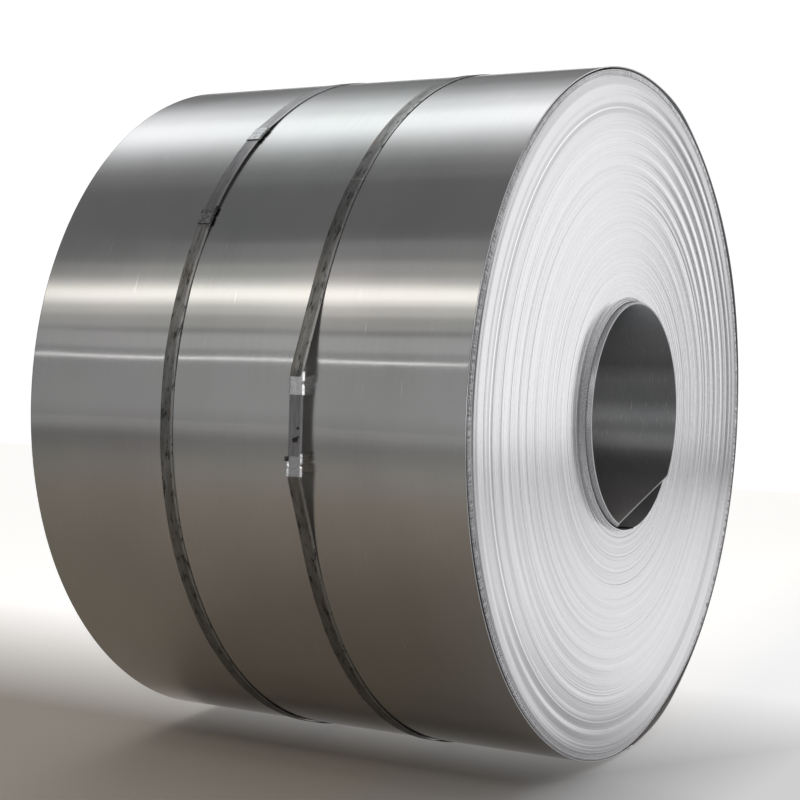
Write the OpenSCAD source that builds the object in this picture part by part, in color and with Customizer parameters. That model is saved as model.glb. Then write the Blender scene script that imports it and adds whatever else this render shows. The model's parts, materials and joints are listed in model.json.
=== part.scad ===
// Coil of wound steel strip, lying on its side and held by two lapped straps with crimped seals.
// The coil's axis lies along X, +Z is up, and the origin is the middle of the bore.

/* [Coil] */
// Outside diameter of the wound strip
coil_od = 1570; // [1300:10:1900]
// Diameter of the bore
bore_d = 508; // [406:2:610]
// Width of the strip
strip_w = 1080; // [700:10:1600]
// Radial thickness of a group of laps that share one side shift
lap_group_t = 9.5; // [6:0.5:30]
// Radial distance between the ridges that the laps' side shifts make on the ends
ridge_pitch = 38; // [20:1:60]
// Height of the ridges next to the outer laps
ridge_h = 3; // [0.5:0.25:6]
// Height of the ridges next to the inner laps
ridge_inner_h = 0.5; // [0.25:0.25:3]
// Thickness of the innermost laps, which stand out furthest at the +X end
first_laps_t = 4; // [2:0.5:8]
// How far the innermost laps stand out
first_laps_out = 24; // [12:1:40]
// Thickness of the inner laps next to them
inner_laps_t = 10; // [6:1:30]
// How far the inner laps stand out
inner_laps_out = 13; // [4:1:30]
// Angle below the horizontal of the crop in the innermost laps, on the +Y side
crop_at = 75; // [40:1:110]
// Depth of the crop from the innermost laps' edge
crop_depth = 54; // [30:1:80]
// How far the crop reaches into the laps behind the innermost ones
crop_lap = 1; // [0.5:0.1:3]
// Slope of the crop's edge to the bore's axis
crop_slope = 46.6; // [35:0.1:55]
// Thickness of the loose outer laps
outer_laps_t = 4; // [2:0.5:20]
// How far the outer laps stand out
outer_laps_out = 6; // [2:1:30]

/* [Straps] */
// Width of the strap steel
strap_w = 32; // [19:1:50]
// Thickness of the strap steel
strap_t = 0.9; // [0.5:0.1:2]
// Gap between a strap and the coil
strap_gap = 0.3; // [0.1:0.05:0.5]
// Distance between the two straps
strap_pitch = 335; // [200:5:500]
// How far the pair of straps sits off the middle of the coil
strap_shift = 22; // [-80:1:80]
// Lean of the straps' planes, top towards +X
strap_lean = 1.2; // [-3:0.1:3]
// Turn of the straps' planes about the upright, front towards -X
strap_turn = 1.75; // [-3:0.05:3]

/* [Left joint] */
// Angle above the horizontal of the middle of the left joint
left_joint_at = 43.7; // [20:0.1:80]
// Gap between the left strap's seals and the coil, which the left joint hugs
left_seal_clear = 1.2; // [0.5:0.1:6]
// Distance between the left strap's seals
left_seal_pitch = 254; // [120:1:320]
// How far the left strap's lapped ends run on, past the joint's middle
left_lap_run = 32; // [26:0.5:60]

/* [Right joint] */
// Angle above the horizontal of the middle of the right joint
right_joint_at = 1.6; // [-40:0.1:40]
// Height of the right joint's corners above the coil
right_lift = 24; // [10:1:45]
// Distance between the right strap's seals
right_seal_pitch = 163; // [120:1:320]
// How far the right strap's lapped ends run on, past the joint's middle
right_lap_run = 39.7; // [26:0.1:60]
// How far the right strap's under end stops short of its outer end's run
right_under_short = 20; // [0:0.5:20]

/* [Seals] */
// Length of a seal along the strap
seal_l = 46; // [25:1:60]
// Wall of a seal
seal_t = 1.6; // [0.8:0.1:2.5]
// Gap between a seal and the strap in it
seal_gap = 0.3; // [0.2:0.05:0.5]
// Depth of the notch crimped into each edge of a seal
crimp_depth = 1; // [0.3:0.1:1.5]
// Width of a crimped notch
crimp_w = 5; // [3:0.5:8]
// Distance from a seal's end to the bend in the strap
seal_inset = 3; // [1:0.5:10]

/* [Hidden] */
coil_r = coil_od / 2;
bore_r = bore_d / 2;
first_r = bore_r + first_laps_t;
inner_r = first_r + inner_laps_t;
outer_r = coil_r - outer_laps_t;
ring_r = coil_r + strap_gap;
group_n = floor((outer_r - inner_r) / lap_group_t);
group_w = (outer_r - inner_r) / group_n;
left_x = strap_shift - strap_pitch / 2;
right_x = strap_shift + strap_pitch / 2;
seal_w = strap_w + 2 * seal_gap + 2 * seal_t;
seal_sag = pow(seal_l, 2) / (8 * coil_r);
left_lift = left_seal_clear + seal_sag + seal_gap + seal_t - strap_gap;
reach = 2 * coil_od;

// Inner radius of lap group i
function lap_r(i) = inner_r + i * group_w;
// Height of the ridges at a radius
function ridge_at(r) = ridge_inner_h + (ridge_h - ridge_inner_h) * (r - inner_r) / (outer_r - inner_r);
// Fall from a ridge's crest at a radius, from 0 to 1
function ridge_fall(r) = ((r - inner_r) % ridge_pitch) / ridge_pitch;
// Side shift of lap group i, the same at both ends because the strip has one width
function lap_shift(i) = ridge_at(lap_r(i + 0.5)) * (0.5 - ridge_fall(lap_r(i + 0.5)));
// Steps of the wound laps from the bore outwards, as radius and side shift
function lap_steps() = concat(
    [[bore_r, first_laps_out], [first_r, first_laps_out]],
    [[first_r, inner_laps_out], [inner_r, inner_laps_out]],
    [for (i = [0 : group_n - 1]) each [[lap_r(i), lap_shift(i)], [lap_r(i + 1), lap_shift(i)]]],
    [[outer_r, outer_laps_out], [coil_r, outer_laps_out]]
);
// Distance of a joint's bends from the axis
function bend_r(lift) = ring_r + lift;
// Half of the run between a joint's bends
function half_run(pitch) = pitch / 2 + seal_l / 2 + seal_inset;
// Half of the angle between a joint's bends
function half_angle(lift, pitch) = asin(half_run(pitch) / bend_r(lift));
// Angle from a bend to where the strap meets the coil, just short of the tangent
function leave_angle(lift) = 0.93 * acos(ring_r / bend_r(lift));
// Distance of a joint's run from the axis at its seals
function run_r(lift, pitch, hugs) = hugs ? bend_r(lift) : bend_r(lift) * cos(half_angle(lift, pitch));
// Angle of a seal's middle from the joint's middle, where the joint hugs the coil
function seal_angle(lift, pitch) = asin(pitch / 2 / bend_r(lift));
// Point at a radius and an angle above the horizontal on the -Y side, as Y and Z
function at(r, a) = [-r * cos(a), r * sin(a)];
// Strap's path from a bend down to the coil and a little on inside it
function dive(bend, foot) = bend + 1.15 * (foot - bend);
// The same path carried on above the bend
function rise(bend, foot) = bend - 0.8 * (foot - bend);

// Prism along X over a section drawn in Y and Z
module along_x() {
    rotate([90, 0, 90]) linear_extrude(height = strip_w, center = true) children();
}

// Wedge between two angles above the horizontal on the -Y side
module wedge(from, to) {
    mid = (from + to) / 2;
    along_x() polygon([[0, 0], at(reach, from), at(reach, mid), at(reach, to)]);
}

// Round bar about the coil's axis
module bar(r) {
    rotate([0, 90, 0]) cylinder(r = r, h = strip_w, center = true, $fn = 180);
}

// All that lies inside a strap's layer, by height over the coil, with the joint straight or hugging the coil
module strap_inside(u, joint_at, lift, pitch, hugs) {
    k = (ring_r + u) / ring_r;
    h = half_angle(lift, pitch);
    up = at(k * bend_r(lift), joint_at + h);
    low = at(k * bend_r(lift), joint_at - h);
    up_foot = at(k * ring_r, joint_at + h + leave_angle(lift));
    low_foot = at(k * ring_r, joint_at - h - leave_angle(lift));
    top = hugs ? [rise(up, up_foot), at(reach, joint_at), rise(low, low_foot)] : [up, low];
    bar(k * ring_r);
    intersection() {
        along_x() polygon(concat([[0, 0], dive(up, up_foot)], top, [dive(low, low_foot)]));
        bar(hugs ? k * bend_r(lift) : reach);
    }
}

// Slab that a strap's edges lie in
module strap_slab(x, w) {
    translate([x, 0, 0])
        rotate([0, strap_lean, -strap_turn])
            cube([w, reach, reach], center = true);
}

// Strap round the coil, with its outer end lapped over its under end
module strap(x, joint_at, lift, pitch, hugs, from, to) {
    intersection() {
        difference() {
            union() {
                strap_inside(strap_t, joint_at, lift, pitch, hugs);
                intersection() {
                    strap_inside(2 * strap_t, joint_at, lift, pitch, hugs);
                    wedge(from, to);
                }
            }
            strap_inside(0, joint_at, lift, pitch, hugs);
        }
        strap_slab(x, strap_w);
    }
}

// Block at an angle round the coil, by its lower and upper heights, its place along the run and its length
module run_block(angle, low, high, at_run, length) {
    rotate([-angle, 0, 0])
        translate([0, -(low + high) / 2, at_run])
            cube([strip_w, high - low, length], center = true);
}

// Crimped sleeve round the two lapped ends, notched in the middle of its edges
module seal(x, joint_at, lift, pitch, hugs, side) {
    angle = joint_at + (hugs ? side * seal_angle(lift, pitch) : 0);
    at_run = hugs ? 0 : side * pitch / 2;
    run = run_r(lift, pitch, hugs);
    base = run - (hugs ? seal_sag : 0);
    top = run * (ring_r + 2 * strap_t) / ring_r;
    difference() {
        intersection() {
            run_block(angle, base - seal_gap - seal_t, top + seal_gap + seal_t, at_run, seal_l);
            strap_slab(x, seal_w);
        }
        intersection() {
            run_block(angle, base - seal_gap, top + seal_gap, at_run, 2 * seal_l);
            strap_slab(x, strap_w + 2 * seal_gap);
        }
        difference() {
            run_block(angle, base - 3 * seal_t, top + 3 * seal_t, at_run, crimp_w);
            strap_slab(x, seal_w - 2 * crimp_depth);
        }
    }
}

// Wound strip as one turned solid, its lap groups stepped on both ends
module coil() {
    steps = lap_steps();
    last = len(steps) - 1;
    near_end = [for (s = steps) [s[0], s[1] + strip_w / 2]];
    far_end = [for (i = [last : -1 : 0]) [steps[i][0], steps[i][1] - strip_w / 2]];
    color([0.62, 0.63, 0.65])
        difference() {
            rotate([0, 90, 0])
                rotate_extrude($fn = 180) polygon(concat(near_end, far_end));
            inner_crop();
        }
}

// Sloping crop in the edge of the innermost laps
module inner_crop() {
    edge = strip_w / 2 + first_laps_out;
    cut = 2 * bore_d;
    intersection() {
        rotate([0, 90, 0]) cylinder(r = first_r + crop_lap, h = 2 * strip_w, $fn = 180);
        rotate([-crop_at, 0, 0])
            translate([edge - crop_depth, bore_r, 0])
                rotate([0, 0, crop_slope])
                    translate([cut / 2, 0, 0])
                        cube([cut, 3 * cut, cut], center = true);
    }
}

module strap_left() {
    color([0.2, 0.21, 0.22])
        strap(left_x, left_joint_at, left_lift, left_seal_pitch, true,
              left_joint_at - left_lap_run, left_joint_at + left_lap_run);
}

module strap_left_seal_upper() {
    color([0.7, 0.71, 0.72]) seal(left_x, left_joint_at, left_lift, left_seal_pitch, true, 1);
}

module strap_left_seal_lower() {
    color([0.7, 0.71, 0.72]) seal(left_x, left_joint_at, left_lift, left_seal_pitch, true, -1);
}

module strap_right() {
    color([0.2, 0.21, 0.22])
        strap(right_x, right_joint_at, right_lift, right_seal_pitch, false,
              right_joint_at - right_lap_run + right_under_short, right_joint_at + right_lap_run);
}

module strap_right_seal_upper() {
    color([0.7, 0.71, 0.72]) seal(right_x, right_joint_at, right_lift, right_seal_pitch, false, 1);
}

module strap_right_seal_lower() {
    color([0.7, 0.71, 0.72]) seal(right_x, right_joint_at, right_lift, right_seal_pitch, false, -1);
}

coil();
strap_left();
strap_left_seal_upper();
strap_left_seal_lower();
strap_right();
strap_right_seal_upper();
strap_right_seal_lower();
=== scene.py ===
"""Looks of a strapped steel coil, in metres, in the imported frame: laps, straps, seals, studio and camera."""
import json
import math

import bpy
import numpy as np
from mathutils import Matrix, Vector


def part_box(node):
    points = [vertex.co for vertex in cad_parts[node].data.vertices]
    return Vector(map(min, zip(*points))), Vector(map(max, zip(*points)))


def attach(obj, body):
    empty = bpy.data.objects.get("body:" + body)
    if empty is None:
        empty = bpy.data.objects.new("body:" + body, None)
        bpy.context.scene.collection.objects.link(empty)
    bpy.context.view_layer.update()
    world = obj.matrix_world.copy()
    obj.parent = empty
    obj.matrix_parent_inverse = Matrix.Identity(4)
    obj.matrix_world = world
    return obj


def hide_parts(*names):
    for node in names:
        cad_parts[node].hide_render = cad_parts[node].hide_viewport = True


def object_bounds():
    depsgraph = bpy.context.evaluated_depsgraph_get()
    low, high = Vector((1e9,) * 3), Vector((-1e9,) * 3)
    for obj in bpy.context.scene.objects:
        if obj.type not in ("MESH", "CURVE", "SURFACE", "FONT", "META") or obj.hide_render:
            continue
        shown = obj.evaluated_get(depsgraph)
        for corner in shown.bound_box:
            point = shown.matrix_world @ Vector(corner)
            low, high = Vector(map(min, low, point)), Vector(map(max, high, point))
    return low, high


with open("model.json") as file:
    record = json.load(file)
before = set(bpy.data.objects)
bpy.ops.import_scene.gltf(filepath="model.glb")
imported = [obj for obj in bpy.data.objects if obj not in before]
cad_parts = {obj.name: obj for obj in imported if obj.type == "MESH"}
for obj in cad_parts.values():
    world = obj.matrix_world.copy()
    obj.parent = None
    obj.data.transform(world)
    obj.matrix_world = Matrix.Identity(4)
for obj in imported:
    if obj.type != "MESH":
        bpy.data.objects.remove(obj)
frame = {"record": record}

CAD_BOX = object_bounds()
MM = 0.001

# Sizes of the coil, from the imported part
BORE = frame["record"]["mounts"][0]["dims"]
BORE_R = BORE["r_mm"] * MM
STRIP_W = BORE["length_mm"] * MM
COIL_LOW, COIL_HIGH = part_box("coil")
COIL_R = round((COIL_HIGH[2] - COIL_LOW[2]) / 2, 4)
FLOOR_Z = CAD_BOX[0][2]

# Wound laps. HOLD is the flat row beside a bevel, which keeps the bevel's shading off the skin.
# LAP_PARTS are a lap's groove and corners, as shares of the pitch, each with what looseness adds.
# Grooves are in millimetres, and the laps come loose over LOOSE_RUN
LAP = 2.4 * MM
LAP_PITCH = 3.0 * MM
BEVEL = 0.5 * MM
HOLD = 1.5 * MM
LAP_COLUMNS = 160
LAP_PARTS = ((0.0, 0.0), (0.22, 0.12), (0.78, -0.02))
GROOVE = 0.05
LOOSE_GROOVE = 3.0
LOOSE_W = 22 * MM
LOOSE_R = COIL_R - LOOSE_W
LOOSE_RUN = 3 * MM

# Outermost lap, from its end under the coil
TAIL_AT = math.radians(-88)
OUTER_SPAN = math.radians(362)
OUTER_COLUMNS = 400
OUTER_AXIAL = 60
OUTER_DIP_AT = 0.80
OUTER_DIP_RUN = 0.19
LAP_CLEAR = 0.1 * MM
RIM_CLEAR = 0.8 * MM

# Innermost laps at the near end, with the crop in the first of them
FIRST_T = 4 * MM
FIRST_OUT = 24 * MM
FIRST_AT = math.radians(100)
FIRST_SPAN = math.radians(361)
FIRST_COLUMNS = 361
FIRST_AXIAL = 24
FIRST_GROWTH = 0.12 * MM
FIRST_CLEAR = 0.4 * MM
INNER_OUT = 15 * MM
INNER_TURNS = 2.7
CROP_AT = math.radians(-75)
CROP_DEPTH = 54 * MM
CROP_SLOPE = math.tan(math.radians(46.6))

# Ridges on the ends: crests' radii in millimetres, share of each ridge that falls, and share of the full
# height at each crest. RIDGE_BLURS round the ridges off, FALL_MORE lengthens the falls, and the sway, in
# millimetres, changes the height round the end and from turn to turn
CRESTS = (310, 352, 390, 436, 497, 537, 573, 610, 651, 689, 722, 760, 802)
RIDGE_FALLS = (0.6, 0.6, 0.6, 0.6, 0.62, 0.55, 0.65, 0.6, 0.66, 0.58, 0.35, 0.7)
RIDGE_SWELLS = (0.08, 0.10, 0.10, 0.16, 0.48, 0.70, 0.88, 0.78, 0.95, 0.90, 1.0, 1.0, 1.0)
RIDGE_BLURS = (-0.09, -0.045, 0.0, 0.045, 0.09)
FALL_MORE = 0.15
RIDGE_SWAY = 0.1
SWAY_WAVES = 2
SWAY_BY_TURN = 0.11

# Rises by angle from +Y in millimetres: what is there all round, then height, middle and width in degrees
LIP_RISE = 1.2
LIP_BULGES = ((2.6, 25, 16), (4.0, 68, 8), (3.2, -73, 9), (-5.2, 180, 75), (-2.5, -150, 25))
RIDGE_RISE = 0.3
RIDGE_BULGES = ((1.0, 45, 24), (1.5, -136, 28), (0.25, 172, 25))
LOOSE_BACK = 0.8
LOOSE_BULGES = ((6.0, -72, 14),)
RIM_BULGES = ((5.0, 180, 75),)

# Side shift by turn in millimetres, for the tight laps and added for the loose ones
JITTERS_A_TURN = 3
JITTERS_SPARE = 8
TIGHT_JITTER = 0.085
LOOSE_JITTER = 0.9

# Unevenness of the outermost lap: millimetres, waves round, rate along and phase. SHEET_SINK is the sum of
# the waves' millimetres and keeps the lap inside its radius
SHEET_WAVES = ((0.16, 5, 7.1, 0.4), (0.11, 9, -11.3, 1.9), (0.06, 17, 5.2, 0.7))
SHEET_SINK = 0.33

# Lines on the ends: a painted highlight along one lap, strongest on the -Y side, and a darker ring near the
# rim
BRIGHT_LAP_R = 694.5 * MM
RIM_R = 754 * MM

# Straps and seals, as in the part's source. A joint's under and over are the angles of the strap's two ends
STRAP_W = 32 * MM
STRAP_T = 0.9 * MM
STRAP_R = COIL_R + 0.3 * MM
STRAP_LEAN = math.tan(math.radians(1.2))
STRAP_TURN = math.tan(math.radians(1.75))
LEAVE_SHARE = 0.93
SEAL_L = 46 * MM
SEAL_INSET = 3 * MM
JOINTS = {
    "left": {"x": -145.5 * MM, "at": 43.7, "lift": 3.14 * MM, "pitch": 254 * MM, "hugs": True,
             "under": 11.7, "over": 75.7},
    "right": {"x": 189.5 * MM, "at": 1.6, "lift": 24 * MM, "pitch": 163 * MM, "hugs": False,
              "under": -18.1, "over": 41.3},
}

# Strap edges: bevel, the flat row beside it, and the pinch at the middle of each seal
STRAP_BEVEL = 0.22 * MM
STRAP_HOLD = 0.8 * MM
STRAP_PINCH = 2.6 * MM
STRAP_PINCH_W = 3.5 * MM

# Strap's run: step in degrees, smoothing of its bends in steps, rise onto the under end in degrees,
# height of the outer layer in thicknesses, and waviness as millimetres, rate and change with the place
STRAP_STEP = 0.4
BEND_WINDOW = 7
RISE_BEFORE = 5
RISE_RUN = 4
LAYER_STEP = 1.04
STRAP_WOBBLES = ((0.35, 9.1, 40), (0.2, 31.7, 0))

# Seals in section, in millimetres: half width outside, half width and half height inside, and the starts
# of the edge and of its torn part from the middle. SEAL_ROWS is the number of rows along a seal
SEAL_HALF = 17.9
SEAL_INSIDE = 16.3
SEAL_INSIDE_H = 1.2
SEAL_EDGE = 14
TORN_EDGE = 12
SEAL_ROWS = 47

# Seals along their length: the crimp, the torn upper corner, the smaller tear below, and roughness
CRIMP_W = 2.6 * MM
CRIMP_IN = 3.0 * MM
CRIMP_DOWN = 0.5 * MM
TORN_FROM = 13 * MM
TORN_RUN = 3 * MM
LOW_TEAR = 0.8 * MM
LOW_TEAR_W = 4 * MM
ROUGH_SIDE = 0.03 * MM
ROUGH_FACE = 0.015 * MM

RNG = np.random.default_rng(7)


def smooth(x):
    """Smooth step from 0 to 1."""
    x = np.clip(x, 0.0, 1.0)
    return x * x * (3 - 2 * x)


def ring_point(x, r, a):
    """Points at a place along the axis, a radius and an angle from +Y towards +Z."""
    x, r, a = np.broadcast_arrays(x, r, a)
    return np.stack([x, r * np.cos(a), r * np.sin(a)], axis=-1)


def make_object(name, verts, faces, materials, face_slots=None, uvs=None, flat=None):
    """Mesh object on the one body, with UVs in metres by vertex."""
    mesh = bpy.data.meshes.new(name)
    mesh.from_pydata(verts.tolist(), [], faces if isinstance(faces, list) else faces.tolist())
    for material in materials:
        mesh.materials.append(material)
    count = len(mesh.polygons)
    mesh.polygons.foreach_set("use_smooth", np.ones(count, bool) if flat is None else ~flat)
    if face_slots is not None:
        mesh.polygons.foreach_set("material_index", np.asarray(face_slots, np.int32))
    if uvs is not None:
        layer = mesh.uv_layers.new(name="metres")
        loops = np.empty(len(mesh.loops), np.int32)
        mesh.loops.foreach_get("vertex_index", loops)
        layer.data.foreach_set("uv", np.asarray(uvs, np.float32)[loops].ravel())
    mesh.validate()
    mesh.update()
    piece = bpy.data.objects.new(name, mesh)
    bpy.context.scene.collection.objects.link(piece)
    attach(piece, "root")
    return piece


def grid_faces(rows, columns, close_rows=False, start=0):
    """Quads of a grid of vertices, row by row, with the rows closed into a loop where asked."""
    i = np.arange(rows if close_rows else rows - 1)
    j = np.arange(columns - 1)
    i, j = [g.ravel() for g in np.meshgrid(i, j, indexing="ij")]
    n = (i + 1) % rows
    return np.stack([i * columns + j, n * columns + j, n * columns + j + 1, i * columns + j + 1], 1) + start


# Materials

PURE_WHITE = (1, 1, 1, 1)
SPECK = (0.08, 0.075, 0.07, 1)
SCRATCH = (0.95, 0.95, 0.94, 1)
SHADE_BLACK = (0.02, 0.02, 0.022, 1)
ROSY = (1.0, 0.975, 0.98, 1)
GREENISH = (0.965, 1.0, 0.98, 1)
FLOOR_REFLECTION_TINT = (1.0, 0.93, 0.86, 1)
EDGE_DARK = (0.70, 0.695, 0.715, 1)
EDGE_LIGHT = (0.85, 0.845, 0.865, 1)
EDGE_RIDGE_SHADE = (0.4, 0.4, 0.41, 1)
STRAP_DARK = (0.122, 0.123, 0.116, 1)
STRAP_LIGHT = (0.22, 0.218, 0.212, 1)
STRAP_RUST = (0.17, 0.13, 0.105, 1)
STRAP_CLEAN_AND_LIT_DARK = (0.2, 0.195, 0.198, 1)
STRAP_CLEAN_AND_LIT_LIGHT = (0.29, 0.285, 0.288, 1)
STRAP_WORN_EDGE_HIGHLIGHT = (0.42, 0.42, 0.42, 1)
STRAP_BLOT = (0.03, 0.03, 0.03, 1)
STRAP_MARK = (0.03, 0.03, 0.032, 1)
LOOSE_CALM = (0.6, 0.6, 0.61, 1)

# Heights between which a look changes, in metres from the axis
# Painted shade on the inner sheets begins between these heights, above and below the axis
PAINTED_SHADE_HEIGHTS = (0.065, 0.105)
# The painted reflection of the warm floor comes in between these heights
FLOOR_REFLECTION_HEIGHTS = (0.05, -0.45)
CALM_HEIGHTS = (-0.58, -0.70)
# The left strap is painted lighter above these heights, as light from above
LIT_STRAP_HEIGHTS = (0.38, 0.46)


class Nodes:
    """Short way to build a node material."""

    def __init__(self, name):
        self.material = bpy.data.materials.new(name)
        self.material.use_nodes = True
        self.tree = self.material.node_tree
        self.shader = self.tree.nodes["Principled BSDF"]

    def add(self, kind, inputs=None, **settings):
        """New node with its settings, and with its inputs set or linked."""
        node = self.tree.nodes.new(kind)
        for key, value in settings.items():
            setattr(node, key, value)
        for key, value in (inputs or {}).items():
            self.put(node.inputs[key], value)
        return node

    def put(self, socket, value):
        """Link an output to a socket, or set the socket's value."""
        if isinstance(value, bpy.types.NodeSocket):
            self.tree.links.new(value, socket)
        else:
            socket.default_value = value

    def set(self, **values):
        """Set or link the shader's inputs, named with underscores for spaces."""
        for key, value in values.items():
            self.put(self.shader.inputs[key.replace("_", " ")], value)

    def coords(self, kind):
        """Texture coordinates of one kind."""
        return self.add("ShaderNodeTexCoord").outputs[kind]

    def axis(self, vector, index):
        """One part of a vector."""
        return self.add("ShaderNodeSeparateXYZ", {0: vector}).outputs[index]

    def distance(self, a, b):
        """Distance between two points."""
        return self.add("ShaderNodeVectorMath", {0: a, 1: b}, operation="DISTANCE").outputs["Value"]

    def math(self, operation, a, b=0.0):
        """Result of an operation on one or two values."""
        return self.add("ShaderNodeMath", {0: a, 1: b}, operation=operation).outputs[0]

    def off(self, value, middle):
        """How far a value lies from a middle."""
        return self.math("ABSOLUTE", self.math("SUBTRACT", value, middle))

    def blend(self, a, share_a, b, share_b):
        """Two values added by their shares."""
        return self.math("ADD", self.math("MULTIPLY", a, share_a), self.math("MULTIPLY", b, share_b))

    def spread(self, value, low, high, to_low=0.0, to_high=1.0):
        """Value mapped from one range to another and held inside it."""
        keys = {"Value": value, "From Min": low, "From Max": high, "To Min": to_low, "To Max": to_high}
        return self.add("ShaderNodeMapRange", keys).outputs["Result"]

    def mix(self, factor, a, b, blend="MIX"):
        """Two colours mixed by a factor."""
        node = self.add("ShaderNodeMix", data_type="RGBA", blend_type=blend)
        self.put(node.inputs[0], factor)
        self.put(node.inputs[6], a)
        self.put(node.inputs[7], b)
        return node.outputs[2]

    def scaled(self, vector, scale):
        """Vector scaled by axis."""
        return self.add("ShaderNodeMapping", {"Vector": vector, "Scale": scale}).outputs[0]

    def noise(self, vector, scale, detail=2.0, rough=0.5):
        """Noise at a point."""
        keys = {"Vector": vector, "Scale": scale, "Detail": detail, "Roughness": rough}
        return self.add("ShaderNodeTexNoise", keys).outputs["Fac"]

    def line_noise(self, along, scale, detail):
        """Noise along one value."""
        keys = {"W": along, "Scale": scale, "Detail": detail}
        return self.add("ShaderNodeTexNoise", keys, noise_dimensions="1D").outputs["Fac"]

    def bump(self, height, strength, distance):
        """Normal of a small relief."""
        keys = {"Height": height, "Strength": strength, "Distance": distance}
        return self.add("ShaderNodeBump", keys).outputs[0]


def sheet_steel(name, dark, light, rough, dirt, scratches=0.78, scratched=0.5, painted_shade=0.0):
    """Cold-rolled sheet: streaks along the rolling direction, oily cloudiness, specks and scratches.

    Painted shade darkens it towards black away from the height of the axis, and below the axis it takes a
    warmer tint, a painted reflection of the floor.
    """
    n = Nodes(name)
    uv = n.coords("UV")
    height = n.axis(n.coords("Object"), 2)
    streak = n.noise(n.scaled(uv, (420, 5, 1)), 1.0, 3.0, 0.6)
    cloud = n.noise(n.scaled(uv, (2.2, 1.3, 1)), 1.0, 4.0, 0.55)
    speck = n.noise(n.scaled(uv, (260, 150, 1)), 1.0, 2.0, 0.5)
    speck = n.spread(speck, 0.72, 0.765)
    scratch = n.noise(n.scaled(uv, (480, 9, 1)), 1.0, 1.0, 0.5)
    scratch = n.spread(scratch, scratches, scratches + 0.04)
    tone = n.blend(streak, 0.18, cloud, 0.82)
    colour = n.mix(n.spread(tone, 0.32, 0.68), dark, light)
    colour = n.mix(n.math("MULTIPLY", speck, dirt), colour, SPECK)
    colour = n.mix(n.math("MULTIPLY", scratch, scratched), colour, SCRATCH)
    # Painted shade: darker towards black above and below a band at the axis's height
    painted_shade_mask = n.spread(n.math("ABSOLUTE", height), *PAINTED_SHADE_HEIGHTS, 0.0, painted_shade)
    colour = n.mix(painted_shade_mask, colour, SHADE_BLACK)
    hue = n.spread(n.noise(n.scaled(uv, (1.7, 0.9, 1)), 1.0, 2.0, 0.5), 0.35, 0.65)
    colour = n.mix(1.0, colour, n.mix(hue, ROSY, GREENISH), "MULTIPLY")
    # Painted reflection: the lower half takes the warm tint of the floor it mirrors
    colour = n.mix(n.spread(height, *FLOOR_REFLECTION_HEIGHTS), colour, FLOOR_REFLECTION_TINT, "MULTIPLY")
    gloss = n.spread(cloud, 0.3, 0.7, rough - 0.02, rough + 0.03)
    around = n.add("ShaderNodeTangent", direction_type="RADIAL", axis="X").outputs[0]
    n.set(Base_Color=colour, Metallic=1.0, Roughness=gloss)
    n.set(Anisotropic=1.0, Anisotropic_Rotation=0.25, Tangent=around)
    n.set(Normal=n.bump(streak, 0.015, 0.0003))
    return n.material


def edge_steel(name):
    """Cut edges of the wound laps: concentric lines of grey, a painted highlight along one lap, darker rings,
    and painted shade of the ridges low on the front.
    """
    n = Nodes(name)
    place = n.coords("Object")
    flat = n.add("ShaderNodeVectorMath", {0: place, 1: (0, 1, 1)}, operation="MULTIPLY").outputs[0]
    radius = n.add("ShaderNodeVectorMath", {0: flat}, operation="LENGTH").outputs["Value"]
    sideways = n.axis(place, 1)
    height = n.axis(place, 2)
    fine = n.line_noise(radius, 420.0, 2.0)
    wide = n.line_noise(radius, 60.0, 3.0)
    grain = n.noise(place, 160.0, 3.0, 0.6)
    tone = n.math("ADD", n.blend(fine, 0.38, wide, 0.38), n.math("MULTIPLY", grain, 0.24))
    colour = n.mix(n.spread(tone, 0.3, 0.68), EDGE_DARK, EDGE_LIGHT)
    off = n.off(radius, BRIGHT_LAP_R)
    shade = n.spread(radius, 0.625, 0.66, 1.0, 0.95)
    shade = n.math("MULTIPLY", shade, n.spread(off, 8 * MM, 15 * MM, 0.78, 1.0))
    shade = n.math("MULTIPLY", shade, n.spread(n.off(radius, RIM_R), 6 * MM, 12 * MM, 0.82, 1.0))
    grey = n.add("ShaderNodeCombineXYZ", {0: shade, 1: shade, 2: shade}).outputs[0]
    colour = n.mix(1.0, colour, grey, "MULTIPLY")
    # Painted shade: dark lines by radius low on the front of the end, where the ridges are shaded
    low = n.math("MULTIPLY", n.spread(sideways, 0.0, -0.35), n.spread(height, 0.1, -0.2))
    ridge_shade = n.spread(n.line_noise(radius, 42.0, 1.0), 0.48, 0.62, 0.0, 0.3)
    colour = n.mix(n.math("MULTIPLY", ridge_shade, low), colour, EDGE_RIDGE_SHADE)
    # Painted highlight: one lap's edge white, strongest on the -Y side
    lap_highlight = n.spread(off, 1.4 * MM, 2.6 * MM, 0.9, 0.0)
    lap_highlight = n.math("MULTIPLY", lap_highlight, n.spread(sideways, 0.15, -0.3, 0.15, 1.0))
    colour = n.mix(lap_highlight, colour, PURE_WHITE)
    n.set(Base_Color=colour, Metallic=1.0, Roughness=n.spread(wide, 0.3, 0.7, 0.21, 0.24))
    n.set(Normal=n.bump(fine, 0.08, 0.0005))
    return n.material


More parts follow.
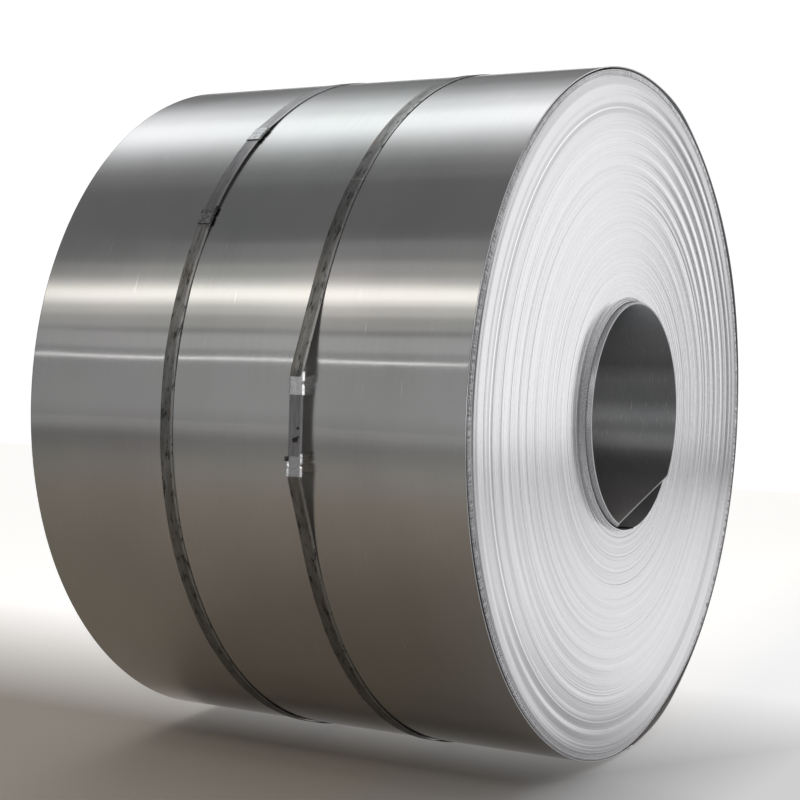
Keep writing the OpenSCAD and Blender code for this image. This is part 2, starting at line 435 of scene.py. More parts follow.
def strap_steel(name, marks, clean):
    """Dark strap with worn patches, rust, a right edge lighter as wear and as a painted highlight, and black
    marks.

    It is cleaner round one point. High up on the left strap, whose UVs lie round 0 and not round 1, it is
    painted lighter as light from above.
    """
    n = Nodes(name)
    uv = n.coords("UV")
    place = n.coords("Object")
    worn = n.noise(n.scaled(uv, (55, 9, 1)), 1.0, 6.0, 0.65)
    drag = n.noise(n.scaled(uv, (420, 12, 1)), 1.0, 3.0, 0.6)
    blot = n.noise(n.scaled(uv, (95, 24, 1)), 1.0, 6.0, 0.75)
    rust = n.noise(n.scaled(uv, (40, 14, 1)), 1.0, 4.0, 0.6)
    rag = n.noise(place, 130.0, 3.0, 0.5)
    worn = n.spread(n.blend(worn, 0.7, drag, 0.3), 0.40, 0.62)
    colour = n.mix(worn, STRAP_DARK, STRAP_LIGHT)
    colour = n.mix(n.spread(rust, 0.52, 0.66, 0.0, 0.4), colour, STRAP_RUST)
    across = n.axis(uv, 0)
    strap = n.math("ROUND", across)
    # Painted light: the left strap is lighter high up, where it catches light from above
    left = n.math("SUBTRACT", 1.0, strap)
    high = n.spread(n.axis(place, 2), *LIT_STRAP_HEIGHTS)
    near = n.spread(n.distance(place, clean), 0.07, 0.09, 1.0, 0.0)
    near = n.math("MAXIMUM", near, n.math("MULTIPLY", left, high))
    colour = n.mix(near, colour, n.mix(worn, STRAP_CLEAN_AND_LIT_DARK, STRAP_CLEAN_AND_LIT_LIGHT))
    # Right edge lighter: wear, and a painted highlight along it
    worn_edge_highlight = n.spread(n.math("SUBTRACT", across, strap), 0.0095, 0.0125, 0.0, 0.55)
    colour = n.mix(worn_edge_highlight, colour, STRAP_WORN_EDGE_HIGHLIGHT)
    blot = n.math("MULTIPLY", n.spread(blot, 0.53, 0.60, 0.0, 0.85), n.spread(near, 0.0, 1.0, 1.0, 0.25))
    colour = n.mix(blot, colour, STRAP_BLOT)
    for mark, reach in marks:
        away = n.math("ADD", n.distance(place, mark), n.math("MULTIPLY", rag, 0.018))
        colour = n.mix(n.spread(away, reach, reach + 0.0015, 0.9, 0.0), colour, STRAP_MARK)
    n.set(Base_Color=colour, Metallic=1.0, Roughness=n.spread(worn, 0.0, 1.0, 0.40, 0.34))
    n.set(Normal=n.bump(drag, 0.12, 0.0004))
    return n.material


def seal_steel(name, dark, light, rough):
    """Zinc-coated seal with a grey bloom."""
    n = Nodes(name)
    place = n.coords("Object")
    bloom = n.noise(place, 140.0, 5.0, 0.6)
    fine = n.noise(place, 900.0, 2.0, 0.5)
    colour = n.mix(n.spread(bloom, 0.38, 0.62), dark, light)
    n.set(Base_Color=colour, Metallic=1.0, Roughness=n.spread(bloom, 0.3, 0.7, rough - 0.05, rough + 0.05))
    n.set(Normal=n.bump(fine, 0.1, 0.0003))
    return n.material


def plain_nodes(name, colour, rough):
    """Nodes of a plain surface with faint clouds."""
    n = Nodes(name)
    cloud = n.noise(n.coords("Object"), 0.8, 3.0, 0.5)
    shade = tuple(c * 0.97 for c in colour[:3]) + (1,)
    n.set(Base_Color=n.mix(cloud, shade, colour), Roughness=rough)
    return n


def plain_surface(name, colour, rough):
    """Plain surface with faint clouds."""
    return plain_nodes(name, colour, rough).material


def loose_steel(name, dark, light):
    """Skins of loose laps: short light and dark patches along the lap, a painted highlight and painted shade
    of their edges and gaps, calmer near the bottom.
    """
    n = Nodes(name)
    patch = n.noise(n.scaled(n.coords("UV"), (420, 190, 1)), 1.0, 2.0, 0.6)
    colour = n.mix(n.spread(patch, 0.40, 0.57), dark, light)
    height = n.axis(n.coords("Object"), 2)
    colour = n.mix(n.spread(height, *CALM_HEIGHTS, 0.0, 0.85), colour, LOOSE_CALM)
    n.set(Base_Color=colour, Metallic=0.5, Roughness=0.4)
    return n.material


SHEET = sheet_steel("rolled_sheet", (0.40, 0.40, 0.395, 1), (0.50, 0.50, 0.495, 1), 0.125, 0.5)
# Inner skins: a paler copy of the rolled sheet, as painted light, with painted shade above and below the
# axis's height
BORE_SHEET = sheet_steel(
    "bore_sheet", (0.58, 0.587, 0.605, 1), (0.76, 0.767, 0.785, 1), 0.58, 0.7,
    scratches=0.66, scratched=1.0, painted_shade=0.52)
# A dark copy of the sheet for the walls between the laps: painted shade
SHADED_GAP_SHEET = sheet_steel("shaded_gap_sheet", (0.07, 0.071, 0.075, 1), (0.12, 0.122, 0.127, 1), 0.46, 0.5)
EDGES = edge_steel("lap_edges")
# Walls, flanges and the ridge of the seals: bare zinc, made brighter as a painted highlight
SEAL_BRIGHT = seal_steel("seal_bright", (0.78, 0.78, 0.79, 1), (0.9, 0.9, 0.91, 1), 0.25)
SEAL_FACE = seal_steel("seal_face", (0.5, 0.505, 0.51, 1), (0.72, 0.725, 0.73, 1), 0.38)
SEAL_GREY = seal_steel("seal_grey", (0.36, 0.362, 0.366, 1), (0.46, 0.463, 0.468, 1), 0.36)
SEAL_DARK = seal_steel("seal_dark", (0.04, 0.04, 0.04, 1), (0.12, 0.12, 0.12, 1), 0.45)
SEAL_WORN = seal_steel("seal_worn", (0.12, 0.12, 0.12, 1), (0.34, 0.34, 0.34, 1), 0.38)
SEAL_PALE = seal_steel("seal_pale", (0.32, 0.32, 0.32, 1), (0.6, 0.605, 0.61, 1), 0.38)
# The straps' underside, pale so that its mirror image in the coil comes out light: painted light
STRAP_UNDER = plain_surface("strap_under", (0.8, 0.8, 0.8, 1), 0.6)
# Skins between the laps, patched as painted highlight and painted shade
LOOSE_SKIN = loose_steel("loose_skin", (0.2, 0.2, 0.205, 1), (0.97, 0.97, 0.98, 1))
FIRST_SKIN = loose_steel("first_skin", (0.24, 0.24, 0.25, 1), (0.9, 0.9, 0.91, 1))
CUT_EDGE = plain_surface("cut_edge", (0.86, 0.86, 0.87, 1), 0.5)


# The wound coil


def bulge(a, middle, width):
    """Rounded rise from 0 to 1, with its middle and width in degrees."""
    off = (np.degrees(a) - middle + 180) % 360 - 180
    return np.exp(-((off / width) ** 2))


def bulges(a, rows):
    """Sum of rounded rises, each given by its height, middle and width."""
    return sum(height * bulge(a, middle, width) for height, middle, width in rows)


def lip(a):
    """How far the outermost lap stands out at the near end, by angle from +Y."""
    return (LIP_RISE + bulges(a, LIP_BULGES)) * MM


def sheet_wave(x, a):
    """Slight unevenness of the outermost lap, as a change of radius."""
    wave = sum(size * np.sin(count * a + along * x + phase) for size, count, along, phase in SHEET_WAVES)
    return (wave - SHEET_SINK) * MM


def no_wave(x, a):
    """An even sheet."""
    return 0.0


def lap_sheet(name, start, span, columns, radius, thick, near, far, axial, wave, materials):
    """One lap as a closed sheet: outer skin, both cut edges and inner skin.

    Its radius goes by the share of its turn, and its near and far edges go by angle.
    """
    a = start + span * np.linspace(0, 1, columns)
    r_out = radius(np.linspace(0, 1, columns))
    x_near = near(a)
    x_far = far(a)
    low, high = x_far + BEVEL, x_near - BEVEL
    outer = [low, low + HOLD]
    outer += [x_far + (x_near - x_far) * f for f in np.linspace(0, 1, axial)[1:-1]]
    outer += [high - HOLD, high]
    inner = [high, high - HOLD, low + HOLD, low]
    sections = [(x, 0.0) for x in outer]
    sections += [(x_near, BEVEL), (x_near, thick - BEVEL)]
    sections += [(x, thick) for x in inner]
    sections += [(x_far, thick - BEVEL), (x_far, BEVEL)]
    rows = len(sections)
    skin = len(outer)
    verts = np.empty((rows, columns, 3))
    uvs = np.empty((rows, columns, 2))
    for i, (x, drop) in enumerate(sections):
        r = r_out - drop + wave(x, a)
        verts[i] = ring_point(x, r, a)
        uvs[i] = np.stack([np.broadcast_to(x, a.shape), a * COIL_R], -1)
    faces = grid_faces(rows, columns, close_rows=True)
    # Slots: 0 is the outer skin, 1 the cut edges and 2 the inner skin
    slots = np.ones(rows, int)
    slots[:skin - 1] = 0
    slots[skin + 2:skin + 5] = 2
    face_slots = np.repeat(slots, columns - 1)
    faces = faces.tolist()
    cap_start = [i * columns for i in range(rows)]
    cap_end = [i * columns + columns - 1 for i in range(rows)][::-1]
    faces += [cap_start, cap_end]
    face_slots = np.concatenate([face_slots, [1, 1]])
    flat = np.zeros(len(faces), bool)
    flat[-2:] = True
    return make_object(name, verts.reshape(-1, 3), faces, materials, face_slots, uvs.reshape(-1, 2), flat)


def outer_radius(s):
    """The outermost lap dips under its own end over the last part of its turn."""
    return COIL_R - (LAP + LAP_CLEAR) * smooth((s - OUTER_DIP_AT) / OUTER_DIP_RUN)


OUTER_LAP = lap_sheet(
    "coil_outer_lap", TAIL_AT, OUTER_SPAN, OUTER_COLUMNS, outer_radius, LAP,
    lambda a: STRIP_W / 2 + lip(a), lambda a: -STRIP_W / 2 + lip(a),
    OUTER_AXIAL, sheet_wave, [SHEET, EDGES, BORE_SHEET])


def cropped_edge(a):
    """Near edge of the innermost lap, with its sloping crop."""
    full = STRIP_W / 2 + FIRST_OUT
    crop = full - CROP_DEPTH + CROP_SLOPE * BORE_R * (1 - np.cos(a - CROP_AT))
    return np.minimum(full, crop)


def first_radius(s):
    """The innermost lap's radius grows a little over its turn."""
    return BORE_R + FIRST_T + FIRST_GROWTH * s


INNER_LAP = lap_sheet(
    "coil_inner_lap", FIRST_AT, FIRST_SPAN, FIRST_COLUMNS, first_radius, FIRST_T,
    cropped_edge, lambda a: 0 * a - STRIP_W / 2 + FIRST_OUT,
    FIRST_AXIAL, no_wave, [FIRST_SKIN, CUT_EDGE, BORE_SHEET])

WOUND_R0 = BORE_R + FIRST_T + FIRST_CLEAR
WOUND_TURNS = int((COIL_R - 2 * LAP - RIM_CLEAR - WOUND_R0) / LAP_PITCH)
TURN_JITTER = RNG.normal(0, 1, JITTERS_A_TURN * WOUND_TURNS + JITTERS_SPARE)


def looseness(r):
    """0 in the tight laps and 1 in the loose ones next to the rim."""
    return smooth((r - LOOSE_R) / LOOSE_RUN)


def side_shift(turn, r, a):
    """Side shift of the wound strip's edge at a turn, the same at both ends.

    The shifts make saw-tooth ridges that fall outwards, and the loose laps stand back.
    """
    crest = np.interp(r / MM, CRESTS, np.arange(len(CRESTS)))
    fall = np.asarray(RIDGE_FALLS)[np.minimum(np.floor(crest).astype(int), len(RIDGE_FALLS) - 1)]
    fall = fall + FALL_MORE
    phase = crest - np.floor(crest)
    wave = 0.0
    for blur in RIDGE_BLURS:
        part = (phase + blur) % 1.0
        tooth = np.where(part < fall, 1 - 2 * part / fall, 2 * (part - fall) / (1 - fall) - 1)
        wave = wave + tooth / len(RIDGE_BLURS)
    swell = np.interp(r / MM, CRESTS, RIDGE_SWELLS)
    around = RIDGE_RISE + bulges(a, RIDGE_BULGES)
    sway = RIDGE_SWAY * np.sin(SWAY_WAVES * a + SWAY_BY_TURN * turn)
    shift = swell * wave * (around + sway)
    loose = looseness(r)
    outward = np.clip((r - LOOSE_R) / LOOSE_W, 0.0, 1.0)
    shift = shift - loose * (LOOSE_BACK + bulges(a, LOOSE_BULGES)) - outward * bulges(a, RIM_BULGES)
    step = JITTERS_A_TURN * turn
    low = np.floor(step).astype(int)
    f = step - low
    jitter = TURN_JITTER[low] * (1 - f) + TURN_JITTER[low + 1] * f
    shift = shift + jitter * (TIGHT_JITTER + LOOSE_JITTER * loose)
    inner = np.clip(1 - turn / INNER_TURNS, 0.0, 1.0)
    return shift * MM + INNER_OUT * inner


def wound_end(name, end):
    """Half of the wound laps, as one spiral strip edge, closed behind at the middle of the coil."""
    columns = LAP_COLUMNS
    last = WOUND_TURNS * columns
    k = np.arange(last + 1)
    turn = k / columns
    a = TAIL_AT + 2 * np.pi * turn
    base_r = WOUND_R0 + LAP_PITCH * turn
    loose = looseness(base_r)
    groove = (GROOVE + LOOSE_GROOVE * loose) * MM
    verts = np.empty((last + 1, 3, 3))
    for j, (part, widen) in enumerate(LAP_PARTS):
        r = base_r + LAP_PITCH * (part + widen * loose)
        shift = side_shift(turn, r, a) - end * (groove if j == 0 else 0.0)
        verts[:, j] = ring_point(end * STRIP_W / 2 + shift, r, a)
    index = np.arange((last + 1) * 3).reshape(last + 1, 3)
    quads = []
    for j in (0, 1):
        quads.append(np.stack([index[:-1, j], index[1:, j], index[1:, j + 1], index[:-1, j + 1]], 1))
    low, high = index[:last - columns + 1, 2], index[columns:, 0]
    quads.append(np.stack([low[:-1], low[1:], high[1:], high[:-1]], 1))
    # Slots: 0 is the cut edges, 1 the walls behind, dark as painted shade, 2 the loose laps' skins and 3 the
    # inner laps' skins, both patched as painted highlight and shade
    open_skin = 2 * (loose[:-1] > 0.5) + 3 * (turn[:-1] < INNER_TURNS)
    quad_slots = np.concatenate([open_skin, 0 * open_skin, open_skin[:len(low) - 1]])
    quads = np.concatenate(quads)
    inner = np.concatenate([index[:columns + 1, 0], [index[0, 2], index[0, 1]]])
    outer = np.concatenate([index[last - columns:, 2], [index[last, 1], index[last, 0]]])
    flatten = np.array([0.0, 1.0, 1.0])
    verts = verts.reshape(-1, 3)
    loops = []
    count = len(verts)
    behind = [verts[inner] * flatten, verts[outer] * flatten]
    verts = np.concatenate([verts] + behind)
    inner_back = count + np.arange(len(inner))
    outer_back = inner_back + len(inner)
    for front, back, turn_round in ((inner, inner_back, True), (outer, outer_back, False)):
        wall = np.stack([front, np.roll(front, -1), np.roll(back, -1), back], 1)
        loops.append(wall[:, ::-1] if turn_round else wall)
    ring = [inner_back, np.roll(inner_back, -1), np.roll(outer_back, -1), outer_back]
    loops.append(np.stack(ring, 1)[:, ::-1])
    faces = np.concatenate([quads] + loops)
    if end > 0:
        faces = faces[:, ::-1]
    slots = np.ones(len(faces), int)
    slots[:len(quads)] = quad_slots
    turns = np.arctan2(verts[:, 2], verts[:, 1])
    uvs = np.stack([verts[:, 0], turns * COIL_R], -1)
    return make_object(name, verts, faces, [EDGES, SHADED_GAP_SHEET, LOOSE_SKIN, FIRST_SKIN], slots, uvs)


NEAR_END = wound_end("coil_wound_near", 1)
FAR_END = wound_end("coil_wound_far", -1)
for piece in (OUTER_LAP, INNER_LAP, NEAR_END, FAR_END):
    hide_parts("coil")


# Straps and seals


def strap_angle_point(r, degrees):
    """Point in Y and Z at a radius and an angle above the horizontal on the -Y side."""
    a = np.radians(degrees)
    return np.stack([-r * np.cos(a), r * np.sin(a)], -1)


def joint_shape(joint):
    """Bends, feet and run of a strap's joint, which is straight or hugs the coil."""
    bend_r = STRAP_R + joint["lift"]
    half = joint["pitch"] / 2 + SEAL_L / 2 + SEAL_INSET
    h = math.degrees(math.asin(half / bend_r))
    leave = LEAVE_SHARE * math.degrees(math.acos(STRAP_R / bend_r))
    return bend_r, h, leave, bend_r if joint["hugs"] else bend_r * math.cos(math.radians(h))


def strap_path(joint):
    """Middle line of one strap from its under end, round the coil, to its outer end."""
    bend_r, h, leave, _ = joint_shape(joint)
    at = joint["at"]
    keys = [at - h - leave, at - h, at + h, at + h + leave]
    radii = [STRAP_R, bend_r, bend_r, STRAP_R]
    corner = [strap_angle_point(r, d) for r, d in zip(radii, keys)]
    degrees = np.arange(joint["under"], 360 + joint["over"] + 1e-6, STRAP_STEP)
    points = strap_angle_point(STRAP_R, degrees)
    for turn in (0, 360):
        for i in range(3):
            inside = (degrees > keys[i] + turn) & (degrees < keys[i + 1] + turn)
            d = np.radians(degrees[inside])
            ray = np.stack([-np.cos(d), np.sin(d)], -1)
            if i == 1 and joint["hugs"]:
                points[inside] = ray * bend_r
                continue
            p, q = corner[i], corner[i + 1]
            n = np.array([-(q - p)[1], (q - p)[0]])
            points[inside] = ray * (n @ p / (ray @ n))[:, None]
    kernel = np.hanning(BEND_WINDOW) / np.hanning(BEND_WINDOW).sum()
    pad = BEND_WINDOW // 2
    padded = np.concatenate([points[:1].repeat(pad, 0), points, points[-1:].repeat(pad, 0)])
    points = np.stack([np.convolve(padded[:, c], kernel, "valid") for c in (0, 1)], -1)
    points[0] = padded[pad]
    points[-1] = padded[-pad - 1]
    raised = smooth((degrees - (360 + joint["under"] - RISE_BEFORE)) / RISE_RUN)
    along = np.gradient(points, axis=0)
    along /= np.linalg.norm(along, axis=1)[:, None]
    out = np.stack([-along[:, 1], along[:, 0]], -1)
    out *= np.sign((out * points).sum(1))[:, None]
    points = points + out * (STRAP_T * (0.5 + LAYER_STEP * raised))[:, None]
    return degrees, points, out


def strap_x(joint, y, z):
    """Place along the axis of a strap's middle."""
    return joint["x"] + STRAP_LEAN * z + STRAP_TURN * y


def seal_angles(joint):
    """Angles of the two seals' middles."""
    _, _, _, run_r = joint_shape(joint)
    part = joint["pitch"] / 2 / run_r
    half = math.degrees(math.asin(part) if joint["hugs"] else math.atan(part))
    return joint["at"] - half, joint["at"] + half


def strap_mark(side, degrees, across):
    """Place of a mark on a strap's outer face, by its angle and its distance from the strap's middle."""
    joint = JOINTS[side]
    y, z = strap_angle_point(joint_shape(joint)[3] / math.cos(math.radians(degrees - joint["at"])), degrees)
    return (strap_x(joint, y, z) + across, float(y), float(z))


def make_strap(side):
    """One strap as a closed band with bevelled edges, pinched in at its seals."""
    joint = JOINTS[side]
    degrees, points, out = strap_path(joint)
    length = np.concatenate([[0], np.cumsum(np.linalg.norm(np.diff(points, axis=0), axis=1))])
    wobble = sum(
        size * MM * np.sin(length * rate + joint["x"] * by_place) for size, rate, by_place in STRAP_WOBBLES)
    mid_x = strap_x(joint, points[:, 0], points[:, 1]) + wobble
    half = np.full(len(degrees), STRAP_W / 2)
    for seal in seal_angles(joint):
        for turn in (0, 360):
            off = np.radians(degrees - seal - turn) * STRAP_R
            half -= STRAP_PINCH * np.exp(-((off / STRAP_PINCH_W) ** 2))
    edge = STRAP_BEVEL
    hold = edge + STRAP_HOLD
    top = STRAP_T / 2
    right = [(hold, top), (edge, top), (0.0, top - edge), (0.0, edge - top), (edge, -top), (hold, -top)]
    section = [(1, inset, height) for inset, height in right]
    section += [(-1, inset, height) for inset, height in right[::-1]]
    rows = []
    uvs = []
    for across, inset, height in section:
        x = mid_x + across * (half - inset)
        yz = points + out * height
        rows.append(np.stack([x, yz[:, 0], yz[:, 1]], -1))
        uvs.append(np.stack([np.full(len(x), across * STRAP_W / 2 + (side == "right")), length], -1))
    rows = np.array(rows)
    count = len(degrees)
    faces = grid_faces(len(section), count, close_rows=True).tolist()
    faces.append([i * count for i in range(len(section))])
    faces.append([i * count + count - 1 for i in range(len(section))][::-1])
    flat = np.zeros(len(faces), bool)
    flat[-2:] = True
    slots = np.zeros(len(faces), int)
    # The three rows of faces on the underside, pale as painted light
    slots[4 * (count - 1):7 * (count - 1)] = 1
    uvs = np.array(uvs).reshape(-1, 2)
    piece = make_object(
        "strap_" + side + "_band", rows.reshape(-1, 3), faces, [STRAP, STRAP_UNDER], slots, uvs, flat)
    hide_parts("strap_" + side)
    return piece


def seal_profile(raised):
    """Section of a seal's outer skin in millimetres, from the lower right over the face, by part."""
    right = [(16.0, -2.8, "wall"), (SEAL_HALF, -1.0, "wall"), (SEAL_HALF, 0.4, "flange"), (14.2, 2.9, "face")]
    face = [(9.0, 2.75, "face"), (3.0, 2.7, "face"), (-3.0, 2.7, "face"), (-9.0, 2.75, "face")]
    if raised:
        left = [(-12.4, 2.6, "ridge"), (-15.4, 4.8, "ridge"), (-SEAL_HALF, 4.0, "left")]
    else:
        left = [(-14.2, 2.8, "left"), (-SEAL_HALF, 0.9, "left")]
    return right + face + left + [(-SEAL_HALF, -1.0, "wall"), (-16.0, -2.8, "wall")]


def make_seal(side, place, raised, cut, burr, seed, skins):
    """Folded sleeve, crimped at its middle, with its face cut back at the upper end.

    It can have a raised left edge and, by the size of its burr, torn left corners.
    """
    joint = JOINTS[side]
    _, _, _, run_r = joint_shape(joint)
    sign = 1 if place == "upper" else -1
    degrees = seal_angles(joint)[1 if sign > 0 else 0] if joint["hugs"] else joint["at"]
    offset = 0.0 if joint["hugs"] else sign * joint["pitch"] / 2
    at = math.radians(degrees)
    out = np.array([-math.cos(at), math.sin(at)])
    along = np.array([math.sin(at), math.cos(at)])
    rng = np.random.default_rng(seed)
    middle = STRAP_T * run_r / STRAP_R
    profile = seal_profile(raised)
    s = np.linspace(-SEAL_L / 2, SEAL_L / 2, SEAL_ROWS)
    pinch = np.exp(-((s / CRIMP_W) ** 2))
    top_end = smooth((s - SEAL_L / 2 + TORN_FROM) / TORN_RUN)
    low_end = np.exp(-(((s + SEAL_L / 2) / LOW_TEAR_W) ** 2))
    shells = []
    for shell in ("outer", "inner"):
        ring = np.empty((len(profile), len(s), 3))
        for i, (px, ph, part) in enumerate(profile):
            if shell == "inner":
                px = float(np.clip(px, -SEAL_INSIDE, SEAL_INSIDE))
                ph = float(np.clip(ph, -SEAL_INSIDE_H, SEAL_INSIDE_H))
            edge = (abs(px) / SEAL_HALF) ** 4
            x = px * MM - np.sign(px) * edge * CRIMP_IN * pinch
            height = ph * MM + np.zeros(len(s))
            if shell == "outer":
                height = height - CRIMP_DOWN * pinch * edge * (ph > 0)
                x = x + rng.normal(0, ROUGH_SIDE, len(s))
                height = height + rng.normal(0, ROUGH_FACE, len(s))
                if px < -SEAL_EDGE:
                    x = x - burr * top_end - LOW_TEAR * (burr > 0) * low_end
            reach = s
            if part != "flange" and px <= SEAL_EDGE:
                reach = -SEAL_L / 2 + (s + SEAL_L / 2) * (1 - cut / SEAL_L)
            yz = out * run_r + along * offset + np.outer(reach, along) + np.outer(height + middle, out)
            ring[i] = np.stack([x + strap_x(joint, yz[:, 0], yz[:, 1]), yz[:, 0], yz[:, 1]], -1)
        shells.append(ring)
    n, m = len(profile), len(s)
    verts = np.concatenate([ring.reshape(-1, 3) for ring in shells])
    outer = grid_faces(n, m, close_rows=True)
    inner = grid_faces(n, m, close_rows=True, start=n * m)[:, ::-1]
    i = np.arange(n)
    nxt = (i + 1) % n
    start = np.stack([i * m, i * m + n * m, nxt * m + n * m, nxt * m], 1)
    end = np.stack([i * m, nxt * m, nxt * m + n * m, i * m + n * m], 1) + m - 1
    faces = np.concatenate([outer, inner, start, end])
    # Slots: 0 is the face, 1 the walls and the ridge, and 2 the torn corner
    slots = np.zeros((n, m - 1), int)
    for row, (px, _, part) in enumerate(profile):
        slots[row] = {"face": 0, "left": 0, "wall": 1, "flange": 1, "ridge": 1}[part]
        if burr and px < -TORN_EDGE and row < n - 1:
            slots[row, top_end[:-1] > 0.5] = 2
    slots = np.concatenate([slots.ravel(), np.zeros(len(inner) + 2 * n, int)])
    name = "strap_" + side + "_seal_" + place
    flat = np.ones(len(faces), bool)
    piece = make_object(name + "_sleeve", verts, faces, [*skins, SEAL_DARK], slots, None, flat)
    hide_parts(name)
    return piece


# Black marks on the right strap: angle, millimetres from its middle, and reach in metres
MARKS = ((-0.75, 0.5, 0.0138), (-0.3, 4.0, 0.0138), (0.9, 6.0, 0.0122))
STRAP = strap_steel(
    "strap_steel", [(strap_mark("right", degrees, across * MM), reach) for degrees, across, reach in MARKS],
    strap_mark("right", JOINTS["right"]["at"], 0.0))
for side in ("left", "right"):
    make_strap(side)

# Seals: strap, place, raised left edge, how far the face is cut back, burr, seed, and skins of face and walls
SEALS = (
    ("right", "upper", False, 10 * MM, 0.0, 11, (SEAL_FACE, SEAL_BRIGHT)),
    ("right", "lower", True, 6 * MM, 4 * MM, 12, (SEAL_GREY, SEAL_BRIGHT)),
    ("left", "upper", False, 0.0, 0.0, 13, (SEAL_PALE, SEAL_WORN)),
    ("left", "lower", False, 8 * MM, 3 * MM, 14, (SEAL_WORN, SEAL_DARK)))
for seal in SEALS:
    make_seal(*seal)


# Studio


def stage_plane(name, corners, material):
    """Flat stage surface between four corners."""
    mesh = bpy.data.meshes.new(name)
    mesh.from_pydata(corners, [], [(0, 1, 2, 3)])
    mesh.materials.append(material)
    plane = bpy.data.objects.new(name, mesh)
    bpy.context.scene.collection.objects.link(plane)
    return plane


def softbox(name, place, target, width, height, radiance, colour=(1, 1, 1), spread=180):
    """Area light by its brightness, facing a point, with its width along X, or Y if it faces along X."""
    lamp = bpy.data.lights.new(name, "AREA")
    lamp.shape = "RECTANGLE"
    lamp.size = width
    lamp.size_y = height
    lamp.energy = radiance * math.pi * width * height
    lamp.color = colour
    lamp.spread = math.radians(spread)
    light = bpy.data.objects.new(name, lamp)
    look = Vector(target) - Vector(place)
    z = -look.normalized()
    x = Vector((1, 0, 0)) - z * z.x
    if x.length < 0.2:
        x = Vector((0, 1, 0)) - z * z.y
    x.normalize()
    y = z.cross(x)
    light.matrix_world = Matrix.Translation(place) @ Matrix((x, y, z)).transposed().to_4x4()
    light.visible_camera = False
    bpy.context.scene.collection.objects.link(light)
    return light


def glowing(name, colour, strength):
    """Pale stage surface, shown white behind and to the right of the coil to the camera and in gloss."""
    n = plain_nodes(name, colour, 0.9)
    place = n.coords("Object")
    along = n.axis(place, 0)
    depth = n.axis(place, 1)
    behind = n.spread(depth, -0.33, 0.70)
    right = n.math("MULTIPLY", n.spread(along, 0.45, 0.9), n.spread(depth, -1.0, -0.2))
    right = n.math("MULTIPLY", right, 0.6)
    glow = n.math("MULTIPLY", n.math("MAXIMUM", behind, right), strength)
    beside = n.spread(along, 0.1, 0.6)
    glow = n.math("MULTIPLY", glow, n.spread(beside, 0.0, 1.0, 1.0, 0.82))
    glow = n.math("ADD", glow, n.spread(depth, -3.8, -8.0, 0.0, 0.17))
    warm = n.shader.inputs["Base Color"].links[0].from_socket
    warm = n.mix(n.spread(depth, -1.6, -3.4), warm, FAR_FLOOR)
    n.set(Base_Color=n.mix(beside, warm, BESIDE_FLOOR))
    rays = n.add("ShaderNodeLightPath").outputs
    seen = n.math("MAXIMUM", rays["Is Camera Ray"], rays["Is Glossy Ray"])
    seen = n.math("MAXIMUM", seen, rays["Is Transmission Ray"])
    n.set(Emission_Color=PURE_WHITE, Emission_Strength=n.math("MULTIPLY", glow, seen))
    n.material.cycles.emission_sampling = "NONE"
    return n.material


FAR_FLOOR = (0.5, 0.49, 0.475, 1)
BESIDE_FLOOR = (0.5, 0.5, 0.505, 1)
FLOOR = glowing("floor", (0.54, 0.483, 0.42, 1), 0.8)
BACKDROP = glowing("backdrop", (0.9, 0.9, 0.9, 1), 0.85)
STAGE_HALF = 14
STAGE_BACK = 5.0
BACKDROP_RIGHT = -0.2
BACKDROP_TOP = 2.2
stage_plane("floor", [
    (-STAGE_HALF, -STAGE_HALF, FLOOR_Z), (STAGE_HALF, -STAGE_HALF, FLOOR_Z),
    (STAGE_HALF, STAGE_BACK, FLOOR_Z), (-STAGE_HALF, STAGE_BACK, FLOOR_Z)], FLOOR)
stage_plane("backdrop", [
    (-STAGE_HALF, STAGE_BACK, FLOOR_Z), (BACKDROP_RIGHT, STAGE_BACK, FLOOR_Z),
    (BACKDROP_RIGHT, STAGE_BACK, BACKDROP_TOP), (-STAGE_HALF, STAGE_BACK, BACKDROP_TOP)], BACKDROP)

# Lamps in rows, each row a little apart from the next because lamps in one plane don't add up
BAND_STEP = 0.025
TOP_X = -0.8
TOP_Z = 1.75
TOP_W = 2.4
FRONT_X = -3.1
FRONT_Y = -4.0
FRONT_W = 4.1
WALL_X = -2.7
WALL_Y = -5.2
WALL_W = 4.6
WALL_TOP = 2.5
COOL = (0.95, 0.98, 1.0)
CREAM = (1.0, 0.96, 0.89)
WHITE = (1, 1, 1)
TOP_BANDS = (
    (-0.02, 0.26, 0.34), (-0.10, 0.38, 0.30), (-0.16, 0.60, 0.30), (-0.24, 0.80, 0.30),
    (-0.31, 1.00, 0.18), (-0.41, 1.30, 0.18), (-0.52, 1.60, 0.08), (-0.70, 2.40, 0.08))
FRONT_BANDS = (
    (1.207, 1.237, 2.9, WHITE), (2.94, 3.36, 0.72, CREAM), (2.78, 3.58, 0.62, CREAM),
    (2.45, 3.90, 0.34, CREAM), (2.05, 4.75, 0.25, CREAM), (1.5, 6.4, 0.18, WHITE))
WALL_STEPS = (
    (-0.8, 0.088), (-0.65, 0.05), (-0.5, 0.042), (-0.35, 0.035), (-0.2, 0.03), (-0.05, 0.025), (0.1, 0.02))
for step, (low, high, radiance) in enumerate(TOP_BANDS):
    mid = (low + high) / 2
    above = TOP_Z + BAND_STEP * step
    softbox(
        "top_band_" + str(step), (TOP_X, mid, above), (TOP_X, mid, 0),
        TOP_W, high - low, radiance, COOL)
for step, (low, high, radiance, colour) in enumerate(FRONT_BANDS):
    mid = (low + high) / 2
    away = FRONT_Y - BAND_STEP * step
    softbox(
        "front_band_" + str(step), (FRONT_X, away, mid), (FRONT_X, 0, mid),
        FRONT_W, high - low, radiance, colour)
for step, (low, radiance) in enumerate(WALL_STEPS):
    mid = (low + WALL_TOP) / 2
    away = WALL_Y - BAND_STEP * step
    softbox(
        "front_wall_" + str(step), (WALL_X, away, mid), (WALL_X, 0, mid),
        WALL_W, WALL_TOP - low, radiance)

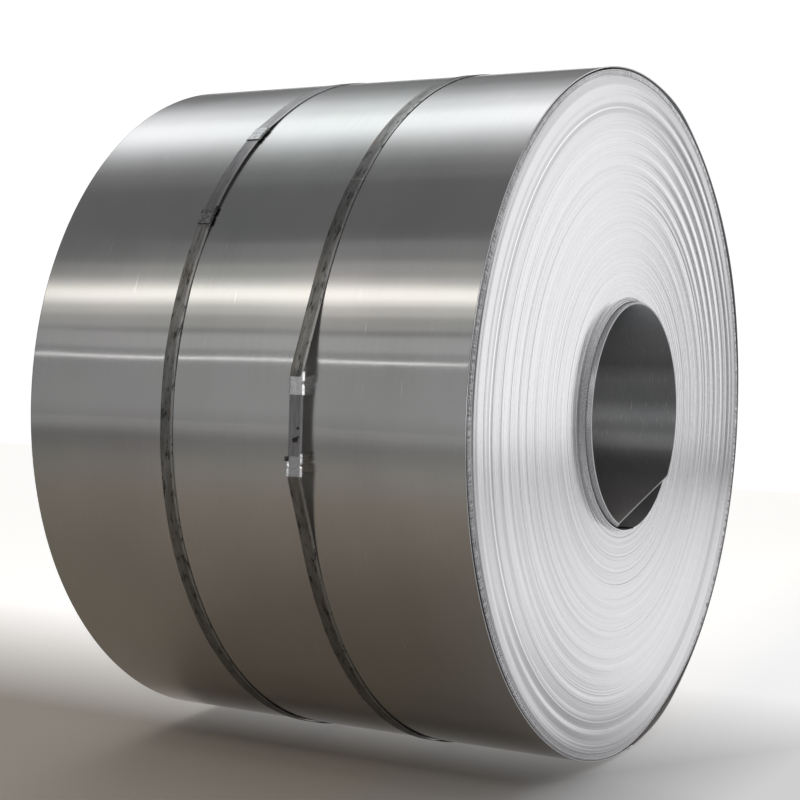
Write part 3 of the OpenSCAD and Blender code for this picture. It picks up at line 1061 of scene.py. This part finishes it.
# Single lamps: name, place, target, width, height and brightness, then colour and spread where they differ
SINGLE_LAMPS = (
    ("floor_grid", (-0.6, -2.9, 3.2), (-0.6, -2.9, FLOOR_Z), 2.2, 1.2, 1.05, WHITE, 70),
    ("floor_far", (-2.2, -4.4, 2.6), (-2.2, -4.4, FLOOR_Z), 2.8, 1.4, 0.65, WHITE, 90),
    ("right_strip", (2.15, -3.1, 0.25), (0.19, -0.8, 0.1), 1.5, 0.6, 2.2),
    ("front_right", (2.3, -3.4, 2.4), (0.2, -1.2, FLOOR_Z), 1.6, 1.2, 2.9),
    ("right_panel", (2.81, 1.79, 1.3), (0.54, 0.0, 1.3), 3.84, 3.4, 0.87))
for lamp in SINGLE_LAMPS:
    softbox(*lamp)

WORLD_GREY = (0.222, 0.222, 0.225, 1)
WORLD = bpy.data.worlds.new("hall")
WORLD.use_nodes = True
WORLD.node_tree.nodes["Background"].inputs["Color"].default_value = WORLD_GREY
bpy.context.scene.world = WORLD

# Camera, from the outlines of the coil in the photograph, in outer radii from the coil's centre
AZIMUTH = math.radians(29.839)
ELEVATION = math.radians(3.970)
CAMERA_AWAY = 5.2529
CAMERA_RIGHT = -0.0630
CAMERA_DOWN = -0.0209
LENS = 75.93
SENSOR_W = 36
BACK = Vector((
    math.sin(AZIMUTH) * math.cos(ELEVATION), -math.cos(AZIMUTH) * math.cos(ELEVATION), math.sin(ELEVATION)))
RIGHT = Vector((math.cos(AZIMUTH), math.sin(AZIMUTH), 0))
UP = BACK.cross(RIGHT)
camera_data = bpy.data.cameras.new("camera")
camera_data.lens = LENS
camera_data.sensor_width = SENSOR_W
camera = bpy.data.objects.new("camera", camera_data)
place = COIL_R * (BACK * CAMERA_AWAY + RIGHT * CAMERA_RIGHT - UP * CAMERA_DOWN)
camera.matrix_world = Matrix.Translation(place) @ Matrix((RIGHT, UP, BACK)).transposed().to_4x4()
bpy.context.scene.collection.objects.link(camera)
bpy.context.scene.camera = camera
bpy.context.scene.view_settings.view_transform = "Standard"
